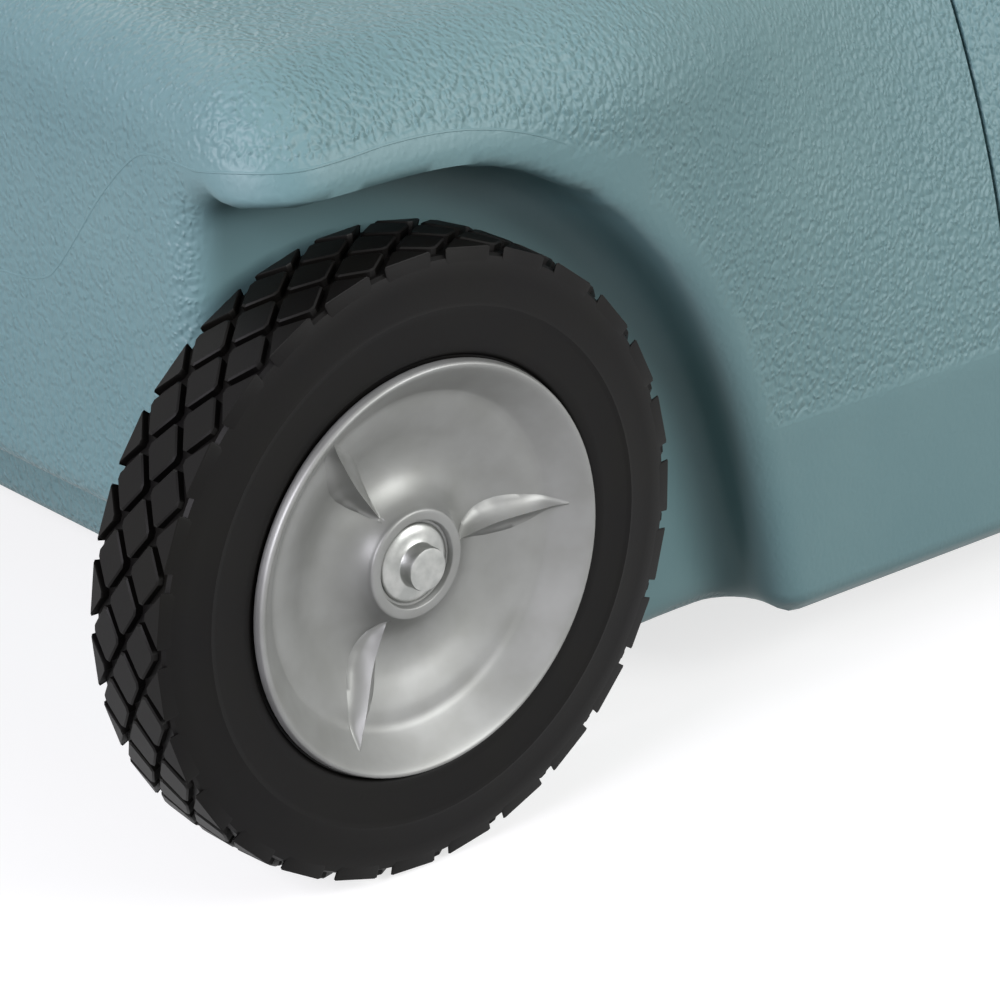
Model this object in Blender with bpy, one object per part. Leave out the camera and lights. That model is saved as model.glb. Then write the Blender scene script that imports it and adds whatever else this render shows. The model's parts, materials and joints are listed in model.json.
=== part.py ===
"""Portable waste tote: moulded tank on two wheels with hose locker, ports, valve and tow handle."""
import math

import bmesh
import bpy
from mathutils import Matrix, Vector

# Driving dimensions in metres, +X to the tow end, +Z up, ground at Z 0
WHEEL_R = 0.127
RIM_R = 0.083
AXLE_R = 0.00635
RUN = 0.0003
AXLE_X = -0.373
AXLE_Z = WHEEL_R
RIM_Y = 0.285
REAR_X = -0.442
FRONT_X = 0.440
BOTTOM_Z = 0.033
DECK_Z = 0.335
SIDE_Y = 0.261
FENDER_Y = 0.272
PART_Z = 0.122
SHOULDER_Z = DECK_Z - 0.055
WELL_Y = 0.229
ARCH_R = 0.1535
ARCH_SAG = 0.0055
ARCH_FRONT = ((0.869, 0.599), (1.060, 0.332), (1.183, 0.098), (1.280, -0.130), (1.339, -0.351))
STEP_X = AXLE_X + 0.045
LEDGE_Z = AXLE_Z + AXLE_R + 0.00065
WALL = 0.005
EDGE = 0.018
LID_X0 = -0.028
LID_X1 = 0.242
LID_GAP = 0.0025
LID_T = 0.004
FLOOR_Z = 0.175
FLAP_Z = FLOOR_Z + 0.0005
HINGE_Y = 0.262
HINGE_Z = 0.170
HINGE_XS = (0.035, 0.180)
LATCH_X = 0.107
LATCH_Y = 0.2665
LATCH_Z = 0.150
KNUCKLE_R = 0.0055
INLET_X = -0.235
PORT_X = 0.335
PORT_Y = 0.100
DRAIN_Z = 0.105
VALVE_X = FRONT_X + 0.0033
BLADE_X = VALVE_X + 0.0119
PIVOT_X = FRONT_X + 0.025
PIVOT_Y = 0.170
PIVOT_Z = 0.270
BAR_Z = 0.032
TUBE_R = 0.0095
STRAP_Y = 0.150

for old in list(bpy.data.objects):
    bpy.data.objects.remove(old)

PARTS = bpy.data.collections.new("portable_waste_tote")
CUTTERS = bpy.data.collections.new("cutters")
for group in (PARTS, CUTTERS):
    bpy.context.scene.collection.children.link(group)


def material(name, colour, rough, metal=0.0, alpha=1.0):
    mat = bpy.data.materials.new(name)
    mat.use_nodes = True
    node = mat.node_tree.nodes["Principled BSDF"]
    node.inputs["Base Color"].default_value = (*colour, 1.0)
    node.inputs["Roughness"].default_value = rough
    node.inputs["Metallic"].default_value = metal
    node.inputs["Alpha"].default_value = alpha
    return mat


TEAL = material("moulded_hdpe", (0.17, 0.29, 0.30), 0.5)
RUBBER = material("tyre_rubber", (0.02, 0.02, 0.02), 0.7)
SEAL = material("seal_rubber", (0.03, 0.03, 0.03), 0.8)
SILVER = material("hub_silver", (0.45, 0.45, 0.44), 0.35, 0.4)
ZINC = material("zinc_steel", (0.60, 0.60, 0.58), 0.35, 1.0)
BLACK = material("black_abs", (0.025, 0.025, 0.027), 0.45)
CLEAR = material("clear_dome", (0.85, 0.88, 0.88), 0.1, 0.0, 0.35)
RED = material("signal_red", (0.55, 0.04, 0.03), 0.4)


def place(name, bm, mat, origin=(0.0, 0.0, 0.0)):
    """Close a bmesh into one object whose origin sits on the given point."""
    bmesh.ops.remove_doubles(bm, verts=bm.verts, dist=1e-7)
    bmesh.ops.recalc_face_normals(bm, faces=bm.faces)
    bmesh.ops.translate(bm, vec=-Vector(origin), verts=bm.verts)
    mesh = bpy.data.meshes.new(name)
    bm.to_mesh(mesh)
    bm.free()
    ob = bpy.data.objects.new(name, mesh)
    ob.location = origin
    if mat is None:
        CUTTERS.objects.link(ob)
        ob.hide_render = True
        ob.display_type = "WIRE"
    else:
        PARTS.objects.link(ob)
        mesh.materials.append(mat)
    return ob


def cut(ob, cutter):
    mod = ob.modifiers.new("cut_" + cutter.name, "BOOLEAN")
    mod.operation = "DIFFERENCE"
    mod.solver = "EXACT"
    mod.object = cutter


def prism(outline, axis, lo, hi, bm=None):
    """Extrude a flat outline along X, Y or Z."""
    bm = bm or bmesh.new()
    make = {"X": lambda p, h: (h, p[0], p[1]),
            "Y": lambda p, h: (p[0], h, p[1]),
            "Z": lambda p, h: (p[0], p[1], h)}
    face = bm.faces.new([bm.verts.new(make[axis](p, lo)) for p in outline])
    grown = bmesh.ops.extrude_face_region(bm, geom=[face], use_keep_orig=True)
    tops = [g for g in grown["geom"] if isinstance(g, bmesh.types.BMVert)]
    bmesh.ops.translate(bm, vec=Vector(make[axis]((0.0, 0.0), hi - lo)), verts=tops)
    return bm


def box(lo, hi, bevel=0.0, bm=None):
    bm = prism([(lo[0], lo[1]), (hi[0], lo[1]), (hi[0], hi[1]), (lo[0], hi[1])], "Z", lo[2], hi[2], bm)
    if bevel:
        bmesh.ops.bevel(bm, geom=list(bm.edges), offset=bevel, segments=2, affect="EDGES", profile=0.5)
    return bm


def lathe(profile, axis, centre, steps, ring=True, bm=None):
    """Turn (radius, height) points about an axis; a ring profile is closed on itself."""
    work = bmesh.new()
    verts = [work.verts.new((r, 0.0, h)) for r, h in profile]
    pairs = list(zip(verts, verts[1:]))
    if ring:
        pairs.append((verts[-1], verts[0]))
    edges = [work.edges.new(pair) for pair in pairs]
    bmesh.ops.spin(work, geom=verts + edges, cent=(0, 0, 0), axis=(0, 0, 1), angle=2 * math.pi, steps=steps,
                   use_merge=True)
    bmesh.ops.remove_doubles(work, verts=work.verts, dist=1e-7)
    turn = {"X": Matrix.Rotation(math.pi / 2, 4, "Y"), "Y": Matrix.Rotation(-math.pi / 2, 4, "X"),
            "Z": Matrix.Identity(4)}[axis]
    bmesh.ops.transform(work, matrix=Matrix.Translation(centre) @ turn, verts=work.verts)
    if bm is None:
        return work
    bmesh.ops.recalc_face_normals(work, faces=work.faces)
    mesh = bpy.data.meshes.new("joined")
    work.to_mesh(mesh)
    work.free()
    bm.from_mesh(mesh)
    bpy.data.meshes.remove(mesh)
    return bm


def rod(axis, centre, radius, lo, hi, steps=16, bm=None):
    return lathe([(0.0, lo), (radius, lo), (radius, hi), (0.0, hi)], axis, centre, steps, False, bm)


def ring(axis, centre, inner, outer, lo, hi, steps=24):
    return lathe([(inner, lo), (outer, lo), (outer, hi), (inner, hi)], axis, centre, steps)


def smooth(t):
    t = min(1.0, max(0.0, t))
    return t * t * (3.0 - 2.0 * t)


# Body section: lower wall plumb, upper wall leaning in, swelling to the fender over the wheels
def side_y(x, z):
    rise = max(0.0, z - PART_Z)
    lean = SIDE_Y - 0.111 * rise - 1.264 * rise * rise
    fender = SIDE_Y + (FENDER_Y - SIDE_Y) * smooth((z - 0.10) / 0.12)
    swell = 1.0 - smooth((x - AXLE_X - 0.09) / 0.24)
    return lean + (fender - lean) * swell


def deck_z(y):
    return DECK_Z - 0.012 * (y / 0.25) ** 2


def upper_path(x, z0, sides=5):
    """Outer half section from the side wall at z0 over the shoulder to the deck centre."""
    path = []
    for i in range(sides):
        z = z0 + (SHOULDER_Z - z0) * i / sides
        path.append((side_y(x, z), z))
    start = Vector((side_y(x, SHOULDER_Z), SHOULDER_Z))
    slope = Vector((side_y(x, SHOULDER_Z) - side_y(x, SHOULDER_Z - 0.02), 0.02)).normalized()
    inner = start.x - 0.070
    end = Vector((inner, deck_z(inner)))
    c1 = start + slope * 0.030
    c2 = end + Vector((0.045, deck_z(inner + 0.045) - end.y))
    for i in range(6):
        t = i / 5
        p = start * (1 - t) ** 3 + c1 * 3 * t * (1 - t) ** 2 + c2 * 3 * t * t * (1 - t) + end * t ** 3
        path.append((p.x, p.y))
    path += [(inner * 0.5, deck_z(inner * 0.5)), (0.0, deck_z(0.0))]
    return path


def lower_path():
    r = 0.020
    path = [(0.0, BOTTOM_Z), (0.13, BOTTOM_Z)]
    for i in range(4):
        a = math.radians(-90 + 30 * i)
        path.append((SIDE_Y - r + r * math.cos(a), BOTTOM_Z + r + r * math.sin(a)))
    return path


def inset(path, d):
    """Move a half section inward along its normals; points on the centre plane stay on it."""
    out = []
    for i, (y, z) in enumerate(path):
        a = Vector(path[max(i - 1, 0)])
        b = Vector(path[min(i + 1, len(path) - 1)])
        t = (b - a).normalized()
        out.append((0.0 if y == 0.0 else y - t.y * d, z + t.x * d))
    return out


def hull(grow):
    """Loft the body section from end to end, drawn in by grow on every side."""
    bm = bmesh.new()
    spans = [-0.373, -0.330, -0.283, -0.245, -0.205, -0.165, -0.125, -0.085, -0.043, 0.10, 0.25, 0.35]
    rear = REAR_X + grow
    front = FRONT_X - grow
    edge = EDGE - grow
    stations = [(rear, edge), (rear + 0.3 * edge, 0.3 * edge), (rear + edge, 0.0)]
    stations += [(x, 0.0) for x in spans]
    stations += [(front - edge, 0.0), (front - 0.3 * edge, 0.3 * edge), (front, edge)]
    loops = []
    for x, d in stations:
        half = inset(lower_path() + upper_path(x, PART_Z), d + grow)
        full = half + [(-y, z) for y, z in reversed(half[1:-1])]
        loops.append([bm.verts.new((x, y, z)) for y, z in full])
    for a, b in zip(loops, loops[1:]):
        for i in range(len(a)):
            j = (i + 1) % len(a)
            bm.faces.new((a[i], a[j], b[j], b[i]))
    bm.faces.new(loops[0])
    bm.faces.new(list(reversed(loops[-1])))
    return bm


def arch(grow):
    """Side outline of a wheel well: flat behind, round over the tyre, slanting down in front."""
    r = ARCH_R + grow
    pts = [(AXLE_X - 0.14, AXLE_Z + r - ARCH_SAG), (AXLE_X - 0.030, AXLE_Z + r - 0.1 * ARCH_SAG)]
    for i in range(6):
        a = math.radians(90 - 39 * i / 5)
        pts.append((AXLE_X + r * math.cos(a), AXLE_Z + r * math.sin(a)))
    pts += [(AXLE_X + r * fx, AXLE_Z + r * fz) for fx, fz in ARCH_FRONT]
    pts += [(AXLE_X + 1.400 * r, BOTTOM_Z - 0.001), (AXLE_X + 1.43 * r, -0.02), (AXLE_X - 0.14, -0.02)]
    return pts


def hollows(name, grow):
    """Wells, axle step and locker recess as cutters, widened by grow."""
    out = []
    for s, tag in ((1, "left"), (-1, "right")):
        lo, hi = sorted((s * (WELL_Y - grow), s * 0.33))
        out.append(place(name + "_well_" + tag, prism(arch(grow), "Y", lo, hi), None))
    out.append(place(name + "_step", box((-0.52, -0.34, -0.03), (STEP_X + grow, 0.34, LEDGE_Z + grow)),
                     None))
    locker = box((LID_X0 - grow, -0.35, FLOOR_Z - grow), (LID_X1 + grow, 0.35, DECK_Z + 0.085))
    out.append(place(name + "_locker", locker, None))
    return out


STRAP_SCREWS = [(AXLE_X + dx, s * STRAP_Y) for s in (1, -1) for dx in (-0.021, 0.021)]
VALVE_LO = DRAIN_Z - 0.050
VALVE_HI = DRAIN_Z + 0.133
GATE_Z = DRAIN_Z + 0.045
VALVE_BOLTS = [(y, z) for z in (DRAIN_Z - 0.030, DRAIN_Z + 0.113) for y in (-0.0525, 0.0525)]

# Tank shell
tank = place("tank", hull(0.0), TEAL)
for cutter in hollows("outer", 0.0):
    cut(tank, cutter)
core = place("core", hull(WALL), None)
for cutter in hollows("inner", WALL):
    cut(core, cutter)
cut(tank, core)
seats = rod("Z", (INLET_X, 0, 0), 0.062, DECK_Z - 0.0015, DECK_Z + 0.065, 32)
for s in (1, -1):
    rod("Z", (PORT_X, s * PORT_Y, 0), 0.026, DECK_Z - 0.0035, DECK_Z + 0.065, 24, seats)
cut(tank, place("port_seats", seats, None))
holes = rod("Z", (INLET_X, 0, 0), 0.0425, DECK_Z - 0.020, DECK_Z + 0.025, 32)
for s in (1, -1):
    rod("Z", (PORT_X, s * PORT_Y, 0), 0.0125, DECK_Z - 0.020, DECK_Z + 0.025, 20, holes)
rod("X", (0, 0, DRAIN_Z), 0.040, FRONT_X - 0.02, FRONT_X + 0.02, 32, holes)
for x, y in STRAP_SCREWS:
    rod("Z", (x, y, 0), 0.0021, LEDGE_Z - 0.004, LEDGE_Z + 0.0026, 10, holes)
for y, z in VALVE_BOLTS:
    rod("X", (0, y, z), 0.0028, FRONT_X - 0.0026, FRONT_X + 0.004, 10, holes)
cut(tank, place("port_holes", holes, None))

# Locker lid: the body's own skin between two seams
outer = upper_path(0.1, FLAP_Z)
inner_path = inset(outer, LID_T)
inner_path[0] = (inner_path[0][0], FLAP_Z)
lid_outline = outer + [(-y, z) for y, z in reversed(outer[:-1])]
lid_outline += [(-y, z) for y, z in inner_path[:-1]] + list(reversed(inner_path))
LID_PIVOT = (0.5 * (LID_X0 + LID_X1), HINGE_Y, HINGE_Z)
place("locker_lid", prism(lid_outline, "X", LID_X0 + LID_GAP, LID_X1 - LID_GAP), TEAL, LID_PIVOT)


def skin(z, off):
    """Point standing off the leaning side wall at height z."""
    return (side_y(0.1, z) + off, z)


def arc(cy, cz, r, a0, a1, n):
    span = [math.radians(a0 + (a1 - a0) * i / n) for i in range(n + 1)]
    return [(cy + r * math.cos(a), cz + r * math.sin(a)) for a in span]


def flip(pts, s):
    return [(s * y, z) for y, z in pts]


# Lid hinges on the left flap
leaf_base = [skin(z, RUN) for z in (0.128, 0.145, 0.160)]
leaf_base += arc(HINGE_Y, HINGE_Z, KNUCKLE_R, 215, -60, 9) + [(0.2642, 0.158), (0.2642, 0.128)]
leaf_lid = [skin(0.180, RUN), skin(0.196, RUN), skin(0.212, RUN), skin(0.212, 0.0034), skin(0.186, 0.0040)]
leaf_lid += arc(HINGE_Y, HINGE_Z, KNUCKLE_R, 60, -210, 9)
for tag, x in zip(("rear", "front"), HINGE_XS):
    bore = place("hinge_bore_" + tag, rod("X", (x, HINGE_Y, HINGE_Z), 0.0028, -0.03, 0.03, 12), None)
    base = place("hinge_base_" + tag, prism(leaf_base, "X", x - 0.016, x - 0.0002), BLACK)
    leaf = place("hinge_leaf_" + tag, prism(leaf_lid, "X", x + 0.0002, x + 0.016), BLACK, LID_PIVOT)
    cut(base, bore)
    cut(leaf, bore)
    place("hinge_pin_" + tag, rod("X", (x, HINGE_Y, HINGE_Z), 0.0025, -0.0175, 0.0175, 12), ZINC)

# Lid latch on the right flap
LATCH_PIVOT = (LATCH_X, -LATCH_Y, LATCH_Z)
latch_foot = [skin(z, RUN) for z in (0.108, 0.122, 0.140)]
latch_foot += arc(LATCH_Y, LATCH_Z, KNUCKLE_R, 215, -60, 9) + [(0.2680, 0.138), (0.2680, 0.108)]
lever = [skin(0.170, 0.0045), skin(0.190, 0.0045), skin(0.2105, 0.0045), skin(0.2105, 0.0010),
         skin(0.2150, 0.0010)]
lever += [skin(0.2150, 0.0085), skin(0.190, 0.0090), skin(0.170, 0.0095)]
lever += arc(LATCH_Y, LATCH_Z, KNUCKLE_R, 45, -225, 9)
catch = [skin(0.196, RUN), skin(0.2092, RUN), skin(0.2092, 0.0034), skin(0.199, 0.0028)]
bore = place("latch_bore", rod("X", LATCH_PIVOT, 0.0028, -0.03, 0.03, 12), None)
for name, pts, lo, hi, origin in (("latch_bracket", latch_foot, -0.0150, -0.0002, (0, 0, 0)),
                                  ("lid_latch", lever, 0.0002, 0.0200, LATCH_PIVOT)):
    piece = place(name, prism(flip(pts, -1), "X", LATCH_X + lo, LATCH_X + hi), BLACK, origin)
    cut(piece, bore)
place("latch_pin", rod("X", LATCH_PIVOT, 0.0025, -0.0165, 0.0215, 12), ZINC)
place("latch_keeper", prism(flip(catch, -1), "X", LATCH_X + 0.002, LATCH_X + 0.018), BLACK, LID_PIVOT)

# Axle under the rear ledge with its straps and screws
place("rear_axle", rod("Y", (AXLE_X, 0, AXLE_Z), AXLE_R, -RIM_Y + 0.0063, RIM_Y - 0.0063, 20), ZINC)
U_IN = AXLE_R + RUN
U_OUT = U_IN + 0.003
TOP = LEDGE_Z - RUN - AXLE_Z
strap = [(-0.030, TOP), (-0.030, TOP - 0.003), (-U_OUT, TOP - 0.003)] + arc(0, 0, U_OUT, 180, 360, 8)
strap += [(U_OUT, TOP - 0.003), (0.030, TOP - 0.003), (0.030, TOP),
          (U_IN, TOP)] + arc(0, 0, U_IN, 360, 180, 8)
strap += [(-U_IN, TOP)]
strap = [(AXLE_X + x, AXLE_Z + z) for x, z in strap]
SCREW_TOP = AXLE_Z + TOP - 0.003 - RUN
screw_profile = [(0, LEDGE_Z + 0.002), (0.0018, LEDGE_Z + 0.002), (0.0018, SCREW_TOP), (0.0050, SCREW_TOP),
                 (0.0045, SCREW_TOP - 0.0025), (0, SCREW_TOP - 0.0030)]
for s, tag in ((1, "left"), (-1, "right")):
    piece = place("axle_strap_" + tag, prism(strap, "Y", s * STRAP_Y - 0.0125, s * STRAP_Y + 0.0125), ZINC)
    spots = [p for p in STRAP_SCREWS if p[1] * s > 0]
    bores = bmesh.new()
    for x, y in spots:
        rod("Z", (x, y, 0), 0.0021, LEDGE_Z - 0.006, LEDGE_Z + 0.004, 10, bores)
    cut(piece, place("strap_bores_" + tag, bores, None))
    for spot, end in zip(spots, ("rear", "front")):
        place("strap_screw_%s_%s" % (tag, end), lathe(screw_profile, "Z", (*spot, 0), 10, False), ZINC)

# Wheels: profiles are (radius, depth inward from the outer rim plane)
HUB_IN = 0.0515
SEAT_R = RIM_R - 0.007
BOSS_U = 0.0100
NUT_U = BOSS_U + 0.0025
BEAD = 0.0003
hub = [(0.0105, HUB_IN), (0.0105, NUT_U), (0.0160, NUT_U), (0.0165, BOSS_U), (0.0205, BOSS_U),
       (0.0215, 0.0126),
       (0.026, 0.0172), (0.031, 0.0200), (0.040, 0.0215), (RIM_R - 0.030, 0.0185), (RIM_R - 0.0195, 0.0104),
       (RIM_R - 0.0095, 0.0045), (RIM_R - 0.0035, 0.0), (RIM_R, 0.0), (RIM_R, 0.0048), (SEAT_R, 0.0048),
       (SEAT_R, 0.0482), (RIM_R, 0.0482), (RIM_R, HUB_IN), (RIM_R - 0.0115, HUB_IN), (RIM_R - 0.013, 0.040),
       (RIM_R - 0.0135, 0.0150), (RIM_R - 0.0285, 0.0235), (0.040, 0.0262), (0.030, 0.0252), (0.0175, 0.0240),
       (0.0175, HUB_IN)]
tyre = [(SEAT_R + 2 * BEAD, 0.0048 + BEAD), (SEAT_R + 2 * BEAD, 0.0482 - BEAD),
        (RIM_R + 4 * BEAD, 0.0482 - BEAD),
        (RIM_R + 0.009, 0.0487), (WHEEL_R - 0.019, 0.0487), (WHEEL_R - 0.009, 0.0478), (WHEEL_R - 0.0015, 0.0455),
        (WHEEL_R, 0.0410), (WHEEL_R, 0.0110), (WHEEL_R - 0.0015, 0.0065), (WHEEL_R - 0.009, 0.0042),
        (WHEEL_R - 0.019, 0.0033), (RIM_R + 0.009, 0.0033), (RIM_R + 4 * BEAD, 0.0041), (RIM_R + 0.0008, 0.0048 + BEAD)]
bush = [(AXLE_R + RUN, HUB_IN - RUN), (AXLE_R + RUN, NUT_U + RUN), (0.0102, NUT_U + RUN),
        (0.0102, HUB_IN - RUN)]
spacer = [(AXLE_R + RUN, HUB_IN + RUN), (0.014, HUB_IN + RUN), (0.014, 0.0557), (AXLE_R + RUN, 0.0557)]
push_nut = [(0, 0.0033), (0.0072, 0.0033), (0.0080, 0.0042), (0.0080, NUT_U - 0.0027),
            (0.0120, NUT_U - 0.0019),
            (0.0145, NUT_U - RUN), (AXLE_R + RUN, NUT_U - RUN), (AXLE_R + RUN, 0.0060), (0, 0.0060)]
for s, tag in ((1, "left"), (-1, "right")):
    hubcap = (AXLE_X, s * RIM_Y, AXLE_Z)
    for name, pts, mat, steps, closed in (("tyre", tyre, RUBBER, 36, True), ("hub", hub, SILVER, 24, True),
                                          ("hub_bush", bush, BLACK, 16, True), ("axle_spacer", spacer, BLACK, 16, True),
                                          ("push_nut", push_nut, ZINC, 16, False)):
        turned = lathe([(r, -s * u) for r, u in pts], "Y", hubcap, steps, closed)
        place(name + "_" + tag, turned, mat, (AXLE_X, s * (RIM_Y - 0.026), AXLE_Z))

# Fill inlet on the rear deck
SEAT = DECK_Z - 0.0015
at = (INLET_X, 0, SEAT)
inlet = [(0.036, -0.0275), (0.0415, -0.0275), (0.0415, 0.0028), (0.058, 0.0028), (0.058, 0.0078),
         (0.0425, 0.0078),
         (0.0425, 0.0228), (0.036, 0.0228)]
place("inlet_collar", lathe(inlet, "Z", at, 32), BLACK)
place("inlet_gasket", ring("Z", at, 0.0430, 0.0570, RUN, 0.0025, 32), SEAL)
place("inlet_nut", ring("Z", at, 0.0420, 0.0550, -0.0125, -0.0052, 32), BLACK)
cap = [(0, 0.0310), (0.046, 0.0310), (0.048, 0.0290), (0.048, 0.0105), (0.0429, 0.0105),
       (0.0429, 0.0233), (0, 0.0233)]
place("inlet_cap", lathe(cap, "Z", at, 32, False), BLACK, at)

# Vent and level gauge on the front deck
SEAT_B = DECK_Z - 0.0035
at = (PORT_X, PORT_Y, SEAT_B)
vent = [(0.009, -0.0135), (0.012, -0.0135), (0.012, RUN), (0.022, RUN), (0.022, 0.0043), (0.0145, 0.0043),
        (0.0145, 0.0125), (0.009, 0.0125)]
place("vent_collar", lathe(vent, "Z", at, 24), BLACK)
cap = [(0, 0.0185), (0.017, 0.0185), (0.018, 0.0175), (0.018, 0.0057), (0.0149, 0.0057),
       (0.0149, 0.0130), (0, 0.0130)]
place("vent_cap", lathe(cap, "Z", at, 24, False), BLACK, at)
at = (PORT_X, -PORT_Y, SEAT_B)
base = [(0.0029, -0.0135), (0.012, -0.0135), (0.012, RUN), (0.022, RUN), (0.022, 0.0043), (0.0029, 0.0043)]
place("gauge_base", lathe(base, "Z", at, 24), BLACK)
dome = [(0, 0.0305), (0.0120, 0.0305), (0.0150, 0.0280), (0.0150, 0.0046), (0.0128, 0.0046),
        (0.0128, 0.0268),
        (0, 0.0285)]
place("gauge_dome", lathe(dome, "Z", at, 24, False), CLEAR)
stem = [(0, 0.0086), (0.0045, 0.0086), (0.0045, 0.0046), (0.0025, 0.0046), (0.0025, -0.130), (0, -0.130)]
place("gauge_stem", lathe(stem, "Z", at, 12, False), RED, at)
place("gauge_float", ring("Z", at, 0.0028, 0.0220, -0.122, -0.097, 20), BLACK, at)

# Drain valve on the front wall
at = (FRONT_X, 0, DRAIN_Z)
place("drain_gasket", ring("X", at, 0.041, 0.054, RUN, 0.0030, 28), SEAL)
bolt_bores = bmesh.new()
for y, z in VALVE_BOLTS:
    rod("X", (FRONT_X, y, z), 0.0028, -0.01, 0.05, 10, bolt_bores)
bolt_bores = place("valve_bolt_bores", bolt_bores, None)
drain_bore = place("drain_bore", rod("X", at, 0.038, -0.01, 0.06, 28), None)
slot = box((VALVE_X + 0.0077, -0.047, VALVE_LO + 0.0065), (VALVE_X + 0.03, 0.047, VALVE_HI - 0.008))
slot = place("blade_slot", slot, None)
rod_bore = place("rod_bore", rod("Z", (BLADE_X, 0, 0), 0.0034, VALVE_HI - 0.016, VALVE_HI + 0.012, 12),
                 None)
rear_half = box((VALVE_X, -0.058, VALVE_LO), (VALVE_X + 0.0167, 0.058, VALVE_HI))
rear_half = place("valve_rear", rear_half, BLACK)
for cutter in (slot, drain_bore, bolt_bores, rod_bore):
    cut(rear_half, cutter)
front_half = box((VALVE_X + 0.0170, -0.058, VALVE_LO), (VALVE_X + 0.0247, 0.058, VALVE_HI))
front_half = place("valve_front", front_half, BLACK)
for cutter in (drain_bore, bolt_bores):
    cut(front_half, cutter)
gate_at = (BLADE_X, 0, GATE_Z)
blade = box((BLADE_X - 0.0022, -0.0455, VALVE_LO + 0.0075), (BLADE_X + 0.0022, 0.0455, GATE_Z))
place("gate_blade", blade, BLACK, gate_at)
place("gate_rod", rod("Z", (BLADE_X, 0, 0), 0.003, GATE_Z + RUN, GATE_Z + 0.112, 12), ZINC, gate_at)
grip = box((BLADE_X - 0.008, -0.040, GATE_Z + 0.1123), (BLADE_X + 0.008, 0.040, GATE_Z + 0.1285), 0.003)
place("gate_handle", grip, RED, gate_at)
for i, (y, z) in enumerate(VALVE_BOLTS):
    head = VALVE_X + 0.0250 - FRONT_X
    bolt = [(0, -0.0022), (0.0025, -0.0022), (0.0025, head), (0.0045, head), (0.0045, head + 0.0030),
            (0, head + 0.0034)]
    place("valve_bolt_%d" % (i + 1), lathe(bolt, "X", (FRONT_X, y, z), 10, False), ZINC)
s0 = VALVE_X + 0.0250 - FRONT_X
spigot = [(0.037, s0), (0.050, s0), (0.050, s0 + 0.005), (0.043, s0 + 0.005), (0.043, 0.0530),
          (0.037, 0.0530)]
place("outlet_spigot", lathe(spigot, "X", at, 28), BLACK)
cap = [(0, 0.0600), (0.0475, 0.0600), (0.0490, 0.0585), (0.0490, 0.0365), (0.0435, 0.0365),
       (0.0435, 0.0536), (0, 0.0536)]
place("outlet_cap", lathe(cap, "X", at, 28, False), BLACK, at)

# Tow handle hanging from two clevis brackets
bend = 0.030
half = [(PIVOT_Y, PIVOT_Z + 0.014), (PIVOT_Y, PIVOT_Z - 0.10)]
half += arc(PIVOT_Y - bend, BAR_Z + bend, bend, 0, -90, 5)
path = half + [(-y, z) for y, z in reversed(half)]
bm = bmesh.new()
loops = []
for i, p in enumerate(path):
    t = (Vector(path[min(i + 1, len(path) - 1)]) - Vector(path[max(i - 1, 0)])).normalized()
    loop = []
    for k in range(12):
        a = 2 * math.pi * k / 12
        n = Vector((t.y, -t.x)) * math.cos(a) * TUBE_R
        loop.append(bm.verts.new((PIVOT_X + TUBE_R * math.sin(a), p[0] + n.x, p[1] + n.y)))
    loops.append(loop)
for a, b in zip(loops, loops[1:]):
    for k in range(12):
        bm.faces.new((a[k], a[(k + 1) % 12], b[(k + 1) % 12], b[k]))
bm.faces.new(loops[0])
bm.faces.new(loops[-1])
tow_at = (PIVOT_X, 0, PIVOT_Z)
handle = place("tow_handle", bm, ZINC, tow_at)
pivot_bore = place("pivot_bore", rod("Y", tow_at, 0.0043, -0.22, 0.22, 14), None)
cut(handle, pivot_bore)
grip = ring("Y", (PIVOT_X, 0, BAR_Z), TUBE_R + RUN, 0.0145, -0.080, 0.080, 20)
place("tow_grip", grip, SEAL, tow_at)
EAR = TUBE_R + 0.0015
OUT = EAR + 0.003
back = FRONT_X + RUN
channel = [(back, -OUT), (PIVOT_X + 0.012, -OUT), (PIVOT_X + 0.012, -EAR), (back + 0.003, -EAR),
           (back + 0.003, EAR),
           (PIVOT_X + 0.012, EAR), (PIVOT_X + 0.012, OUT), (back, OUT)]
pin = [(0, -OUT - 0.004), (0.0075, -OUT - 0.004), (0.0075, -OUT - RUN), (0.004, -OUT - RUN),
       (0.004, OUT + RUN),
       (0.0075, OUT + RUN), (0.0075, OUT + 0.004), (0, OUT + 0.004)]
for s, tag in ((1, "left"), (-1, "right")):
    shape = [(x, s * PIVOT_Y + y) for x, y in channel]
    piece = place("tow_bracket_" + tag, prism(shape, "Z", PIVOT_Z - 0.020, PIVOT_Z + 0.018), ZINC)
    cut(piece, pivot_bore)
    place("tow_pivot_" + tag, lathe(pin, "Y", (PIVOT_X, s * PIVOT_Y, PIVOT_Z), 14, False), ZINC)

# Front skid that carries the tow end when the tote stands
skid = box((FRONT_X - 0.080, 0.071 - SIDE_Y, 0.0), (FRONT_X - 0.025, SIDE_Y - 0.071, BOTTOM_Z - RUN), 0.004)
place("front_skid", skid, SEAL)
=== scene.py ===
"""Looks of the portable waste tote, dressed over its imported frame."""

import json
import math

import bmesh
import bpy
import numpy as np
from mathutils import Matrix, Vector


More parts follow.
